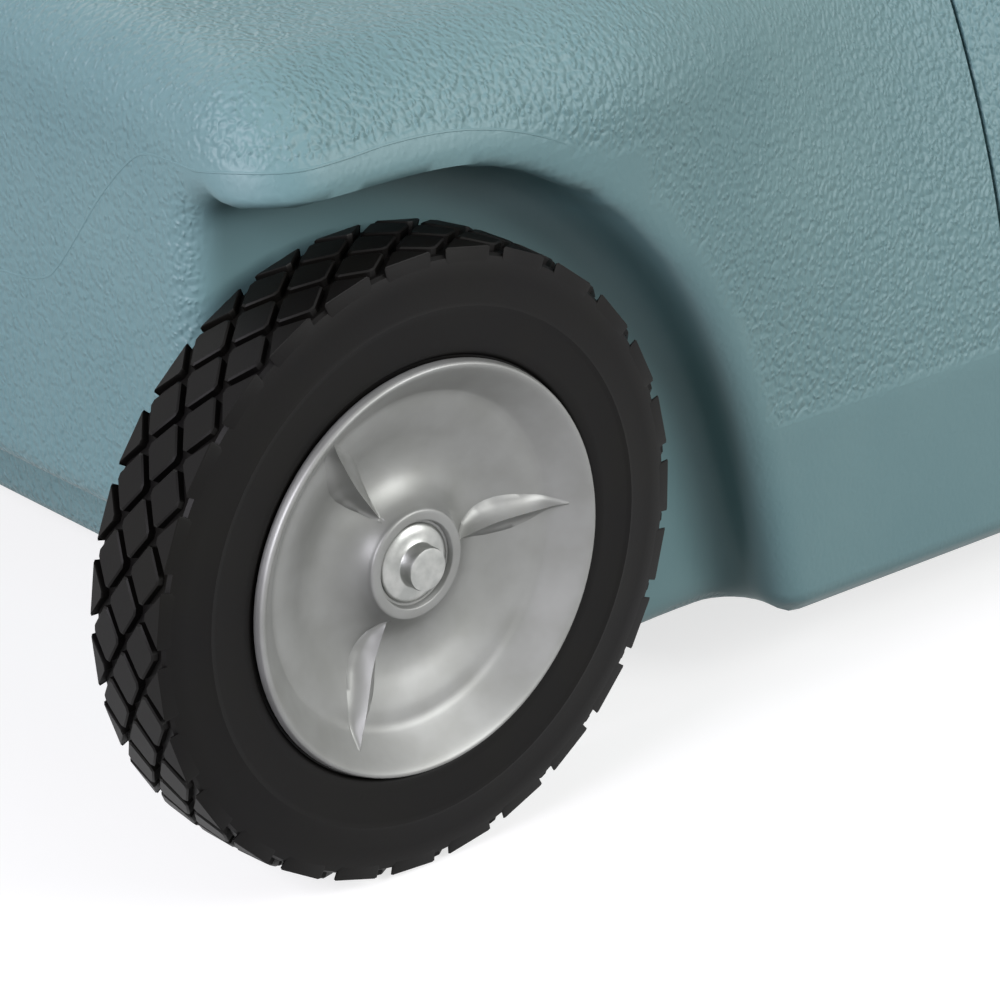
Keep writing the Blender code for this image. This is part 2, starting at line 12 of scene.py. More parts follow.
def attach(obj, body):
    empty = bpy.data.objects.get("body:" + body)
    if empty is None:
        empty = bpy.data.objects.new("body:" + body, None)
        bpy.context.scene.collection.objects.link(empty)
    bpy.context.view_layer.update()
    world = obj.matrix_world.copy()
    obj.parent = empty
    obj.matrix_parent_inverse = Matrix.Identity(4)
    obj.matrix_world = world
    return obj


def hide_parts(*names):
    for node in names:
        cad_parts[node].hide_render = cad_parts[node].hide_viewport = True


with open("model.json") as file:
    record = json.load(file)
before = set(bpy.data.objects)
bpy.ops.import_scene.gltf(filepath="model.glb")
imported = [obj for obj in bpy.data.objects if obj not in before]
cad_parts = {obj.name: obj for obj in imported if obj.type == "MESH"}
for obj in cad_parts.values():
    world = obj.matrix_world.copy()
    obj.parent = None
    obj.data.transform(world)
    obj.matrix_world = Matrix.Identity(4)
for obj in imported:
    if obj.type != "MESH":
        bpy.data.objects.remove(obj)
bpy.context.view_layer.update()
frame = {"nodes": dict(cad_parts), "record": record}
nodes = frame["nodes"]

# Driving places and sizes of the moulding and wheels, metres
AXLE_X, AXLE_Z, RIM_Y = -0.373, 0.127, 0.285
REAR_X, FRONT_X = -0.442, 0.440
BOTTOM_Z, DECK_Z = 0.033, 0.335
SIDE_Y, FENDER_Y, PART_Z = 0.261, 0.272, 0.122
WELL_Y, ARCH_R = 0.229, 0.1535
STEP_X, LEDGE_Z = AXLE_X + 0.045, 0.134
LID_X0, LID_X1, LID_GAP, LID_T = -0.028, 0.242, 0.0025, 0.004
FLOOR_Z = 0.175
INLET_X, PORT_X, PORT_Y, DRAIN_Z = -0.235, 0.335, 0.100, 0.105
INLET_Z, PORT_Z = DECK_Z - 0.0015, DECK_Z - 0.0035
AXLE_R, TUBE_R, RUN = 0.00635, 0.0095, 0.0003
VALVE_X = FRONT_X + 0.0033
BLADE_X = VALVE_X + 0.0119
VALVE_LO, VALVE_HI, GATE_Z = DRAIN_Z - 0.050, DRAIN_Z + 0.133, DRAIN_Z + 0.045
PIVOT_X, PIVOT_Y, PIVOT_Z, BAR_Z = FRONT_X + 0.025, 0.170, 0.270, 0.032
VALVE_FACE = VALVE_X + 0.0250 - FRONT_X

# Forms of the moulding: slopes, rolls of its edges and the spacing of its net
SIDE_LEAN, SIDE_BOW = 0.111, 1.264
FENDER_FOOT, FENDER_RISE, FENDER_REACH, FENDER_FADE = 0.10, 0.12, 0.09, 0.24
DECK_CROWN, DECK_ROLL, FOOT_ROLL, FRONT_ROLL = 0.012, 0.045, 0.008, 0.020
REAR_ROLL_LOW, REAR_ROLL_HIGH = 0.016, 0.034
LIP_ROLL, FLARE_ROLL, POST_ROLL, WELL_ROLL, STEP_ROLL = 0.005, 0.015, 0.014, 0.014, 0.010
ARCH_FOOT, ARCH_SLOPE, ARCH_BEND, ARCH_FLARE = 0.185, 0.3713, 1.690, 9.349
ROOF_DIP, ROOF_SAG, TURN_LOW, TURN_SPAN = 0.0015, 0.55, 44.0, 16.0
VOXEL = 0.0047


def mixed(a, b, t):
    return a + (b - a) * t


def eased(t):
    """A smooth step from 0 to 1."""
    t = np.clip(t, 0.0, 1.0)
    return t * t * (3.0 - 2.0 * t)


# Moulded body as a field: negative inside, zero on the skin
def rolled(a, b, r):
    """Where two solids meet, keep what lies in both and roll the edge to radius r."""
    u = np.maximum(a + r, 0.0)
    v = np.maximum(b + r, 0.0)
    return np.minimum(-r, np.maximum(a, b)) + np.sqrt(u * u + v * v)


def side_half(x, z):
    """Half the body's width: a side that leans in above the parting line and swells out over the wheel."""
    rise = np.maximum(0.0, z - PART_Z)
    lean = SIDE_Y - SIDE_LEAN * rise - SIDE_BOW * rise * rise
    fender = SIDE_Y + (FENDER_Y - SIDE_Y) * eased((z - FENDER_FOOT) / FENDER_RISE)
    swell = 1.0 - eased((x - AXLE_X - FENDER_REACH) / FENDER_FADE)
    return lean + (fender - lean) * swell


def hull_field(p):
    """The body before the wells are pressed in."""
    x, y, z = p[:, 0], np.abs(p[:, 1]), p[:, 2]
    side = (y - side_half(x, z)) * 0.97
    deck = z - DECK_Z + DECK_CROWN * (y / 0.25) ** 2
    field = rolled(side, deck, DECK_ROLL)
    field = rolled(field, BOTTOM_Z - z, FOOT_ROLL)
    field = rolled(field, REAR_X - x, mixed(REAR_ROLL_LOW, REAR_ROLL_HIGH, eased((z - 0.20) / 0.08)))
    return rolled(field, x - FRONT_X, FRONT_ROLL)


def arch_front(rise):
    """How far ahead of the axle the well's front wall stands, by height over the axle."""
    rise = np.clip(rise, -0.13, 0.121)
    return ARCH_FOOT - ARCH_SLOPE * rise - ARCH_BEND * rise ** 2 - ARCH_FLARE * rise ** 3


def arch_roof(dx):
    """How far the well's roof stands from the axle: round ahead of it, sagging a little behind."""
    return ARCH_R - ROOF_DIP * (1.0 - eased(dx / 0.06)) - ROOF_SAG * np.minimum(dx, 0.0) ** 2


def arch_field(x, z):
    """Side outline of the wheel well: nearly flat behind, round over the tyre, flaring to its foot."""
    dx, dz = x - AXLE_X, z - AXLE_Z
    over = np.where(dx < 0.0, dz, np.hypot(dx, dz)) - arch_roof(dx)
    slope = -ARCH_SLOPE - 2.0 * ARCH_BEND * dz - 3.0 * ARCH_FLARE * dz * dz
    ahead = (dx - arch_front(dz)) / np.sqrt(1.0 + slope * slope)
    turn = eased((np.degrees(np.arctan2(dz, dx)) - TURN_LOW) / TURN_SPAN)
    return np.where(dx < 0.0, over, mixed(ahead, over, turn))


def well_field(p):
    """The two wheel wells, with a round where roof and inner wall meet."""
    x, y, z = p[:, 0], np.abs(p[:, 1]), p[:, 2]
    return rolled(arch_field(x, z), WELL_Y - y, WELL_ROLL)


def body_field(p):
    """The whole body: the lip's roll opens towards the front, and a softer post stands behind each wheel."""
    x, y, z = p[:, 0], np.abs(p[:, 1]), p[:, 2]
    roll = mixed(LIP_ROLL, FLARE_ROLL, eased((x - AXLE_X - 0.08) / 0.11))
    post = (1.0 - eased((y - WELL_Y - 0.006) / 0.018)) * (1.0 - eased((x - REAR_X - 0.02) / 0.03))
    field = rolled(hull_field(p), -well_field(p), np.maximum(roll, POST_ROLL * post))
    step = rolled(x - STEP_X, z - LEDGE_Z, STEP_ROLL)
    return rolled(field, -step, STEP_ROLL)


def uphill(p, field):
    """The field's gradient at each point."""
    h = 2e-4
    return np.stack([(field(p + h * e) - field(p - h * e)) / (2 * h) for e in np.eye(3)], axis=1)


def drawn_in(p, field, steps=3):
    """Move points onto the field's skin along its gradient, a short stride at a time."""
    stride = 0.004
    for _ in range(steps):
        g = uphill(p, field)
        p = p - g * np.clip(field(p) / np.maximum((g * g).sum(1), 0.05), -stride, stride)[:, None]
    return p


def settle(bm, field, rounds):
    """Draw every vertex onto the field's skin, evening the net between rounds."""
    for turn in range(rounds):
        if turn:
            bmesh.ops.smooth_vert(bm, verts=bm.verts, factor=0.5,
                                  use_axis_x=True, use_axis_y=True, use_axis_z=True)
        for v, co in zip(bm.verts, drawn_in(np.array([v.co for v in bm.verts]), field)):
            v.co = co


# Mesh helpers built on bmesh operators
def finish_mesh(name, bm, material, body, replaced=(), angle=35.0):
    """Turn a bmesh into a named piece that rides its body and stands for the nodes it replaces."""
    bmesh.ops.remove_doubles(bm, verts=bm.verts, dist=1e-6)
    bmesh.ops.recalc_face_normals(bm, faces=bm.faces)
    mesh = bpy.data.meshes.new(name)
    bm.to_mesh(mesh)
    bm.free()
    mesh.materials.append(material)
    mesh.shade_smooth()
    mesh.set_sharp_from_angle(angle=math.radians(angle))
    ob = bpy.data.objects.new(name, mesh)
    bpy.context.scene.collection.objects.link(ob)
    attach(ob, body)
    if replaced:
        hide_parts(*replaced)
    return ob


def spun(profile, steps, bm=None, closed=True):
    """Turn (radius, depth) points about Z into a ring."""
    bm = bm or bmesh.new()
    verts = [bm.verts.new((r, 0.0, h)) for r, h in profile]
    pairs = list(zip(verts, verts[1:])) + ([(verts[-1], verts[0])] if closed else [])
    edges = [bm.edges.new(pair) for pair in pairs]
    bmesh.ops.spin(bm, geom=verts + edges, cent=(0, 0, 0), axis=(0, 0, 1), angle=math.tau, steps=steps,
                   use_merge=True)
    bmesh.ops.remove_doubles(bm, verts=bm.verts, dist=1e-7)
    return bm


def looped(bm, points):
    """A closed loop of edges through points."""
    verts = [bm.verts.new(p) for p in points]
    return [bm.edges.new(pair) for pair in zip(verts, verts[1:] + verts[:1])]


def lofted(bm, rings):
    """Bridge loops of edges one after another and close both ends."""
    for a, b in zip(rings, rings[1:]):
        bmesh.ops.bridge_loops(bm, edges=a + b)
    for end in (rings[0], rings[-1]):
        bmesh.ops.contextual_create(bm, geom=end)


def pushed(bm, faces, way):
    """Extrude faces along a vector into a solid."""
    grown = bmesh.ops.extrude_face_region(bm, geom=faces, use_keep_orig=True)
    moved = [g for g in grown["geom"] if isinstance(g, bmesh.types.BMVert)]
    bmesh.ops.translate(bm, vec=way, verts=moved)
    bmesh.ops.recalc_face_normals(bm, faces=bm.faces)


def rounded(bm, edges, ease, segments=2):
    """Round edges over by the given width."""
    bmesh.ops.bevel(bm, geom=edges, offset=ease, offset_type="OFFSET", segments=segments, profile=0.5,
                    affect="EDGES", material=-1, clamp_overlap=True)


def flowing(points, n):
    """Catmull-Rom curve through a few points."""
    pts = [Vector(p) for p in points]
    pts = [pts[0] * 2 - pts[1]] + pts + [pts[-1] * 2 - pts[-2]]
    out = []
    for a, b, c, d in zip(pts, pts[1:], pts[2:], pts[3:]):
        for i in range(n):
            t = i / n
            out.append(0.5 * (2 * b + (c - a) * t + (2 * a - 5 * b + 4 * c - d) * t * t
                              + (3 * b - a - 3 * c + d) * t ** 3))
    return out + [pts[-2]]


def block(bm, outline, lift):
    """Raise a flat outline into a block with eased upper edges; lift maps (s, u, level) to a point."""
    ease = 0.00096
    mid = np.mean(outline, axis=0)
    reach = max(math.dist(p, mid) for p in outline)
    inner = [tuple(mid + (np.array(p) - mid) * (1 - ease / reach)) for p in outline]
    loops = []
    for pts, level in ((outline, 0.0), (outline, 0.86), (inner, 1.0)):
        loops.append([bm.verts.new(lift(s, u, level)) for s, u in pts])
    bm.faces.new(loops[-1])
    for low, high in zip(loops, loops[1:]):
        for i in range(len(outline)):
            j = (i + 1) % len(outline)
            bm.faces.new((low[i], low[j], high[j], high[i]))


# Colour and node helpers
def srgb(code):
    values = [int(code[i:i + 2], 16) / 255.0 for i in (1, 3, 5)]
    return [v / 12.92 if v <= 0.04045 else ((v + 0.055) / 1.055) ** 2.4 for v in values] + [1.0]


def add(tree, kind, inputs=None, **settings):
    """Add a node with settings; inputs are values or output sockets."""
    made = tree.nodes.new(kind)
    for key, value in settings.items():
        setattr(made, key, value)
    for key, value in (inputs or {}).items():
        if isinstance(value, bpy.types.NodeSocket):
            tree.links.new(value, made.inputs[key])
        else:
            made.inputs[key].default_value = value
    return made


def blank(name, rough, metal=0.0):
    """A new material with its node tree, its shader and the object's own coordinates."""
    mat = bpy.data.materials.new(name)
    mat.use_nodes = True
    tree = mat.node_tree
    shader = tree.nodes["Principled BSDF"]
    shader.inputs["Roughness"].default_value = rough
    shader.inputs["Metallic"].default_value = metal
    coords = add(tree, "ShaderNodeTexCoord").outputs["Object"]
    return mat, tree, shader, coords


def tinted(tree, shader, coords, dark, light, size):
    """Drift between two colours in soft patches of the given size."""
    noise = add(tree, "ShaderNodeTexNoise", {"Vector": coords, "Scale": 1.0 / size, "Detail": 3.0})
    ramp = add(tree, "ShaderNodeValToRGB", {"Fac": noise.outputs["Fac"]})
    for stop, place, code in zip(ramp.color_ramp.elements, (0.35, 0.65), (dark, light)):
        stop.position = place
        stop.color = srgb(code)
    tree.links.new(ramp.outputs["Color"], shader.inputs["Base Color"])


def roughened(tree, shader, coords, size, detail, strength, depth):
    """Break the sheen up with fine noise of the given size and depth."""
    fine = add(tree, "ShaderNodeTexNoise", {"Vector": coords, "Scale": 1 / size, "Detail": detail})
    bump = add(tree, "ShaderNodeBump", {"Height": fine.outputs["Fac"], "Strength": strength,
                                        "Distance": depth})
    tree.links.new(bump.outputs["Normal"], shader.inputs["Normal"])


# Pebble grain of the mould's upper half: size and depth of a pebble, size and reach of its bends
PEBBLE, PEBBLE_DEPTH, BEND, BEND_REACH = 0.0023, 0.0013, 0.005, 0.003


def moulded_hdpe():
    """Blow-moulded polyethylene: waxy grey-green, with pebble grain where the "grain" attribute has it."""
    mat, tree, shader, coords = blank("grained_polyethylene", 0.50)
    shader.inputs["IOR"].default_value = 1.5
    tinted(tree, shader, coords, "#65868a", "#6c8c8f", 0.11)
    drift = add(tree, "ShaderNodeTexNoise", {"Vector": coords, "Scale": 1 / BEND, "Detail": 1.0})
    bent = add(tree, "ShaderNodeVectorMath", {0: drift.outputs["Color"], 1: (BEND_REACH,) * 3, 2: coords},
               operation="MULTIPLY_ADD")
    drawn = add(tree, "ShaderNodeVectorMath", {0: bent.outputs["Vector"], 1: (1.0, 1.0, 0.85)},
                operation="MULTIPLY")
    pebble = add(tree, "ShaderNodeTexVoronoi", {"Vector": drawn.outputs["Vector"], "Scale": 1 / PEBBLE,
                                                "Smoothness": 0.8}, feature="SMOOTH_F1")
    mask = add(tree, "ShaderNodeAttribute", attribute_name="grain")
    grain = add(tree, "ShaderNodeMath", {0: pebble.outputs["Distance"], 1: mask.outputs["Fac"]},
                operation="MULTIPLY")
    bump = add(tree, "ShaderNodeBump", {"Height": grain.outputs["Value"], "Strength": 1.0,
                                        "Distance": PEBBLE_DEPTH}, invert=True)
    tree.links.new(bump.outputs["Normal"], shader.inputs["Normal"])
    return mat


def tyre_rubber():
    """Semi-pneumatic rubber straight from the mould: dark, faintly brown, satin."""
    mat, tree, shader, coords = blank("moulded_tyre_rubber", 0.48)
    tinted(tree, shader, coords, "#050404", "#080705", 0.03)
    shader.inputs["Specular IOR Level"].default_value = 0.15
    roughened(tree, shader, coords, 0.0012, 4.0, 0.15, 0.0002)
    return mat


def silver_hub():
    """Hub moulded in plastic and sprayed silver: a soft metallic sheen, faintly clouded."""
    mat, tree, shader, coords = blank("silver_sprayed_plastic", 0.45, 0.55)
    tinted(tree, shader, coords, "#8a8b88", "#949593", 0.02)
    return mat


def zinc_plate():
    """Bright zinc on steel: pale, slightly clouded metal."""
    mat, tree, shader, coords = blank("zinc_plated_steel", 0.36, 1.0)
    tinted(tree, shader, coords, "#9fa19e", "#b3b4b1", 0.006)
    return mat


def black_abs():
    """Moulded ABS: near black with a fine spark-eroded texture."""
    mat, tree, shader, coords = blank("spark_textured_abs", 0.42)
    tinted(tree, shader, coords, "#1c1c1e", "#222224", 0.02)
    roughened(tree, shader, coords, 0.0008, 2.0, 0.2, 0.0001)
    return mat


def seal_rubber():
    """Soft rubber: matt black that holds a little dust."""
    mat, tree, shader, coords = blank("matt_seal_rubber", 0.75)
    tinted(tree, shader, coords, "#1d1d1d", "#2a2a29", 0.012)
    return mat


def signal_red():
    """Moulded polypropylene: a glossy signal red that marks the valve's pull."""
    mat, tree, shader, coords = blank("red_polypropylene", 0.38)
    tinted(tree, shader, coords, "#a8241c", "#b52b22", 0.02)
    return mat


def clear_dome():
    """Clear polycarbonate: bright edges, with the float seen through it."""
    mat, _, shader, _ = blank("clear_polycarbonate", 0.05)
    shader.inputs["Base Color"].default_value = srgb("#eef3f3")
    shader.inputs["Transmission Weight"].default_value = 0.95
    shader.inputs["IOR"].default_value = 1.58
    return mat


HDPE, RUBBER, SILVER, ZINC = moulded_hdpe(), tyre_rubber(), silver_hub(), zinc_plate()
ABS, SEAL, RED, CLEAR = black_abs(), seal_rubber(), signal_red(), clear_dome()
FINISH = {"moulded_hdpe": HDPE, "tyre_rubber": RUBBER, "hub_silver": SILVER, "zinc_steel": ZINC,
          "black_abs": ABS, "seal_rubber": SEAL, "signal_red": RED, "clear_dome": CLEAR}
for part in frame["record"]["subparts"]:
    held = nodes[part["node"]]
    for material_slot in held.material_slots:
        material_slot.material = FINISH[part["material_slot"]]


# Tank: a coarse body cut like the moulding, then drawn onto the field
def loft_ring(bm, x, shrink):
    """One section of the coarse body, a little round at its corners."""
    half = [(0.0, BOTTOM_Z + shrink), (SIDE_Y - 0.02 - shrink, BOTTOM_Z + shrink)]
    half += [(float(side_half(x, z)) - shrink, z) for z in (BOTTOM_Z + 0.02, PART_Z, 0.18, 0.23, 0.28)]
    half += [(float(side_half(x, 0.28)) - 0.02 - shrink, 0.315 - shrink), (0.11, DECK_Z - 0.003 - shrink)]
    half += [(0.0, DECK_Z - shrink)]
    full = half + [(-y, z) for y, z in reversed(half[1:-1])]
    return looped(bm, [(x, y, z) for y, z in full])


def coarse_body():
    """The body before its cuts, as a loft along its length."""
    bm = bmesh.new()
    spans = [(REAR_X, 0.008), (REAR_X + 0.015, 0.0)] + [(x, 0.0) for x in np.linspace(-0.40, 0.40, 22)]
    spans += [(FRONT_X - 0.015, 0.0), (FRONT_X, 0.008)]
    lofted(bm, [loft_ring(bm, x, shrink) for x, shrink in spans])
    bmesh.ops.recalc_face_normals(bm, faces=bm.faces)
    return bm


def slab(outline, axis, lo, hi):
    """A prism from an outline in the plane across the axis."""
    bm = bmesh.new()
    spot = {"Y": lambda a, b: (a, lo, b), "X": lambda a, b: (lo, a, b)}[axis]
    face = bm.faces.new([bm.verts.new(spot(a, b)) for a, b in outline])
    pushed(bm, [face], (hi - lo) * Vector((axis == "X", axis == "Y", 0)))
    return bm


def stand(bm, axis, centre):
    """Bring a shape made about Z to an axis and a place."""
    turn = {"X": Matrix.Rotation(math.pi / 2, 4, "Y"), "Y": Matrix.Rotation(-math.pi / 2, 4, "X"),
            "Z": Matrix.Identity(4)}[axis]
    bmesh.ops.transform(bm, matrix=Matrix.Translation(centre) @ turn, verts=bm.verts)
    return bm


def drum(axis, centre, radius, depth):
    """A cylinder for cutting a round hole."""
    bm = bmesh.new()
    bmesh.ops.create_cone(bm, cap_ends=True, segments=48, radius1=radius, radius2=radius, depth=depth)
    return stand(bm, axis, centre)


def loose(name, bm):
    """An object that isn't a piece: a cutter, a blank or the floor."""
    mesh = bpy.data.meshes.new(name)
    bm.to_mesh(mesh)
    bm.free()
    ob = bpy.data.objects.new(name, mesh)
    bpy.context.scene.collection.objects.link(ob)
    return ob


def baked(ob, cutters, voxel=None):
    """Cut an object, remesh it if asked, and return the result as a bmesh, removing the helpers."""
    for cutter in cutters:
        mod = ob.modifiers.new("cut", "BOOLEAN")
        mod.operation = "DIFFERENCE"
        mod.solver = "EXACT"
        mod.object = cutter
    if voxel:
        mod = ob.modifiers.new("net", "REMESH")
        mod.mode = "VOXEL"
        mod.voxel_size = voxel
    graph = bpy.context.evaluated_depsgraph_get()
    mesh = bpy.data.meshes.new_from_object(ob.evaluated_get(graph))
    bm = bmesh.new()
    bm.from_mesh(mesh)
    for helper in [ob] + list(cutters):
        bpy.data.objects.remove(helper)
    return bm


def arch_outline():
    """The wheel well's side outline as a polygon for the coarse cut."""
    pts = [(AXLE_X - 0.14, AXLE_Z + ARCH_R)]
    for i in range(8):
        a = math.radians(90 - 40 * i / 7)
        pts.append((AXLE_X + ARCH_R * math.cos(a), AXLE_Z + ARCH_R * math.sin(a)))
    pts += [(AXLE_X + float(arch_front(h)), AXLE_Z + h) for h in np.linspace(0.10, -0.10, 9)]
    return pts + [(AXLE_X + 0.212, -0.02), (AXLE_X - 0.14, -0.02)]


def box_outline(lo, hi):
    return [(lo[0], lo[1]), (hi[0], lo[1]), (hi[0], hi[1]), (lo[0], hi[1])]


def tank():
    """The moulding: coarse cuts, a fine net drawn onto the field, then holes, locker and grain."""
    cutters = [loose("well_%d" % s, slab(arch_outline(), "Y", *sorted((s * WELL_Y, s * 0.33))))
               for s in (1, -1)]
    cutters.append(loose("step", slab(box_outline((-0.52, -0.03), (STEP_X, LEDGE_Z)), "Y", -0.34, 0.34)))
    bm = baked(loose("body", coarse_body()), cutters, VOXEL)
    settle(bm, body_field, 4)
    holes = [("Z", (INLET_X, 0, DECK_Z), 0.0425, 0.24), ("X", (FRONT_X, 0, DRAIN_Z), 0.040, 0.24)]
    holes += [("Z", (PORT_X, s * PORT_Y, DECK_Z), 0.0125, 0.10) for s in (1, -1)]
    holes += [("Z", (INLET_X, 0, INLET_Z + 0.03), 0.062, 0.06)]
    holes += [("Z", (PORT_X, s * PORT_Y, PORT_Z + 0.03), 0.026, 0.06) for s in (1, -1)]
    cutters = [loose("hole", drum(*hole)) for hole in holes]
    cutters.append(loose("locker", slab(box_outline((LID_X0, FLOOR_Z), (LID_X1, 0.42)), "Y", -0.35, 0.35)))
    bm = baked(loose("body", bm), cutters)
    ob = finish_mesh("tank_moulding", bm, HDPE, "body", ["tank"], angle=60.0)
    grained(ob, tank_grain(np.array([v.co for v in ob.data.vertices])))


def tank_grain(p):
    """Grain at each point: full in the mould's upper half, faint below the flash line and in the wells."""
    x, y, z = p[:, 0], np.abs(p[:, 1]), p[:, 2]
    above = np.minimum(arch_field(x, z) - FLASH_OFF, z - FLASH_Z)
    outer = (y > WELL_Y - 0.002) & ((x > REAR_X + 0.012) | (z > AXLE_Z + 0.135))
    depth = np.where(outer, mixed(0.12, 1.0, eased(above / 0.003)), 1.0)
    depth = depth * mixed(0.8, 1.0, eased((x - REAR_X) / 0.01))
    well = mixed(1.0, 0.1, eased((x - REAR_X - 0.001) / 0.008))
    return depth * np.where(well_field(p) < 0.004, well, 1.0)


def grained(ob, values):
    """Store how deep the grain is at each vertex."""
    mask = ob.data.attributes.new("grain", "FLOAT", "POINT")
    mask.data.foreach_set("value", np.asarray(values, np.float32))


# Flash line where the mould halves met: over each arch and across the rear wall
FLASH_Z, FLASH_OFF = 0.126, 0.0150
FLASH_FOOT, FLASH_TOP, FLASH_SINK, FLASH_START, FLASH_RISE = 0.0009, 0.0003, 0.0004, -0.0003, 0.0002
FLASH_END = ((0.024, 0.167), (0.048, 0.162), (0.063, 0.1615), (0.078, 0.161), (0.090, 0.156), (0.110, 0.137),
             (0.138, 0.103), (0.152, 0.093), (0.179, 0.089), (0.230, 0.089), (0.285, 0.089))


def flash_path():
    """Points close to the skin from the top of the right arch to the middle of the rear wall."""
    r = ARCH_R + FLASH_OFF
    line = [(AXLE_X + r * math.cos(a), AXLE_Z + r * math.sin(a)) for a in np.radians((56, 65, 74, 83, 92))]
    line += [(AXLE_X - 0.028, AXLE_Z + 0.167), (AXLE_X - 0.050, AXLE_Z + 0.167)]
    path = [(x, -float(side_half(x, z)), z) for x, z in line]
    return path + [(REAR_X, y - RIM_Y, AXLE_Z + h) for y, h in FLASH_END]


def flash_bead(side, tag):
    """A thin bead laid along the skin, rising out of it at the top of the arch."""
    pts = np.array([tuple(p) for p in flowing(flash_path(), 6)])
    pts = drawn_in(pts, body_field, 12)
    normal = uphill(pts, body_field)
    normal /= np.linalg.norm(normal, axis=1)[:, None]
    along = np.gradient(pts, axis=0)
    across = np.cross(along, normal)
    across /= np.linalg.norm(across, axis=1)[:, None]
    bm = bmesh.new()
    rings = []
    for i, (p, n, w) in enumerate(zip(pts, normal, across)):
        top = n * mixed(FLASH_START, FLASH_RISE, min(1.0, i / 8))
        foot = n * FLASH_SINK
        section = (p - w * FLASH_FOOT - foot, p - w * FLASH_TOP + top, p + w * FLASH_TOP + top,
                   p + w * FLASH_FOOT - foot)
        rings.append(looped(bm, [(q[0], -side * q[1], q[2]) for q in section]))
    lofted(bm, rings)
    ob = finish_mesh("mould_flash_" + tag, bm, HDPE, "body")
    grained(ob, [0.0] * len(ob.data.vertices))


# Locker lid: the body's own skin between two seams, with eased edges
def lid():
    x = 0.5 * (LID_X0 + LID_X1)
    low, core, stations = FLOOR_Z + 0.0005, 0.17, 72
    rim = math.atan2(low - core, float(side_half(x, low)))
    outer = []
    for a in np.linspace(rim, math.pi - rim, stations):
        lo, hi = 0.05, 0.40
        for _ in range(40):
            r = 0.5 * (lo + hi)
            inside = hull_field(np.array([[x, r * math.cos(a), core + r * math.sin(a)]]))[0] < 0
            lo, hi = (r, hi) if inside else (lo, r)
        outer.append((lo * math.cos(a), core + lo * math.sin(a)))
    slopes = np.gradient(np.array(outer), axis=0)
    slopes /= np.linalg.norm(slopes, axis=1)[:, None]
    inner = [(y - t[1] * LID_T, z - t[0] * LID_T) for (y, z), t in zip(outer, slopes)]
    for end in (0, stations - 1):
        y = outer[end][0]
        inner[end] = (y - math.copysign(LID_T, y), low)
    bm = bmesh.new()
    rows = [[bm.verts.new((LID_X0 + LID_GAP, y, z)) for y, z in line] for line in (outer, inner)]
    strip = [bm.faces.new((a, b, d, c)) for a, b, c, d in zip(rows[0], rows[0][1:], rows[1], rows[1][1:])]
    pushed(bm, strip, (LID_X1 - LID_X0 - 2 * LID_GAP, 0, 0))
    rims = [e for e in bm.edges if e.calc_face_angle(0.0) > 0.8 and e.verts[0].co.z > low + 1e-4
            and abs(e.verts[0].co.x - e.verts[1].co.x) < 1e-6]
    rounded(bm, rims, 0.0012)
    ob = finish_mesh("locker_lid_skin", bm, HDPE, "lid", ["locker_lid"], angle=40.0)
    grained(ob, [1.0] * len(ob.data.vertices))


lid()
flash_bead(1, "left")
flash_bead(-1, "right")
tank()


# Wheels: depths are measured inward from the outer rim plane
HUB_LINE = [(0.0108, 0.0125), (0.0164, 0.0125), (0.0172, 0.0118), (0.0177, 0.0103), (0.0184, 0.0099),
            (0.0212, 0.0099), (0.0222, 0.0106), (0.0230, 0.0124), (0.0260, 0.0165), (0.0315, 0.0205),
            (0.0390, 0.0222), (0.0470, 0.0207), (0.0540, 0.0178), (0.0600, 0.0154), (0.0635, 0.0144),
            (0.0655, 0.0139), (0.0672, 0.0132), (0.0690, 0.0119), (0.0745, 0.0064), (0.0792, 0.0016),
            (0.0812, 0.0001), (0.0823, 0.0004), (0.0829, 0.0018), (0.0828, 0.0046), (0.0765, 0.0056)]
HUB_DISH = HUB_LINE[6:21]
HUB_BACK = [(0.0765, 0.0470), (0.0829, 0.0484), (0.0829, 0.0515), (0.0720, 0.0515), (0.0700, 0.0400),
            (0.0690, 0.0160), (0.0600, 0.0230), (0.0500, 0.0270), (0.0300, 0.0265), (0.0180, 0.0240),
            (0.0178, 0.0515), (0.0108, 0.0515)]
FIN_ANGLES = (5.5, 125.5, 245.5)
FIN_CREST = ((0.0240, 0.0158), (0.0265, 0.0152), (0.0320, 0.0152), (0.0390, 0.0150), (0.0450, 0.0143),
             (0.0520, 0.0126), (0.0600, 0.0104), (0.0680, 0.0086), (0.0742, 0.0066))
FIN_EDGE, FIN_SWELL, FIN_SINK = 0.0008, 0.0068, 0.002
PITCHES, TREAD_W, GROOVE, GROOVE_DEPTH = 27, 0.0205, 0.0052, 0.0040
TYRE_R, TREAD_MID, CROWN_DROP = 0.127, 0.0259, 0.0010
LUG_TOP, LUG_FOOT, LUG_ROOT, LUG_FACE, LUG_LEAN = 0.1256, 0.1130, 0.0058, 0.0036, 0.0018


def hub_depth(r):
    """Depth of the hub's dish at a radius."""
    return float(np.interp(r, [p[0] for p in HUB_DISH], [p[1] for p in HUB_DISH]))


def seat_wheel(bm, side):
    """Bring a wheel made about Z, facing down, to its axle end; the left one is turned about."""
    bmesh.ops.transform(bm, matrix=Matrix.Rotation(-math.pi / 2, 4, "X"), verts=bm.verts)
    bmesh.ops.translate(bm, vec=(AXLE_X, -RIM_Y, AXLE_Z), verts=bm.verts)
    if side > 0:
        there, back = Matrix.Translation((AXLE_X, 0, 0)), Matrix.Translation((-AXLE_X, 0, 0))
        bmesh.ops.transform(bm, matrix=there @ Matrix.Rotation(math.pi, 4, "Z") @ back, verts=bm.verts)


def wheel_point(r, degrees, depth):
    """Polar place on the wheel before it is seated; seen from outside, angles run from the front upwards."""
    a = math.radians(degrees)
    return Vector((r * math.cos(a), -r * math.sin(a), depth))


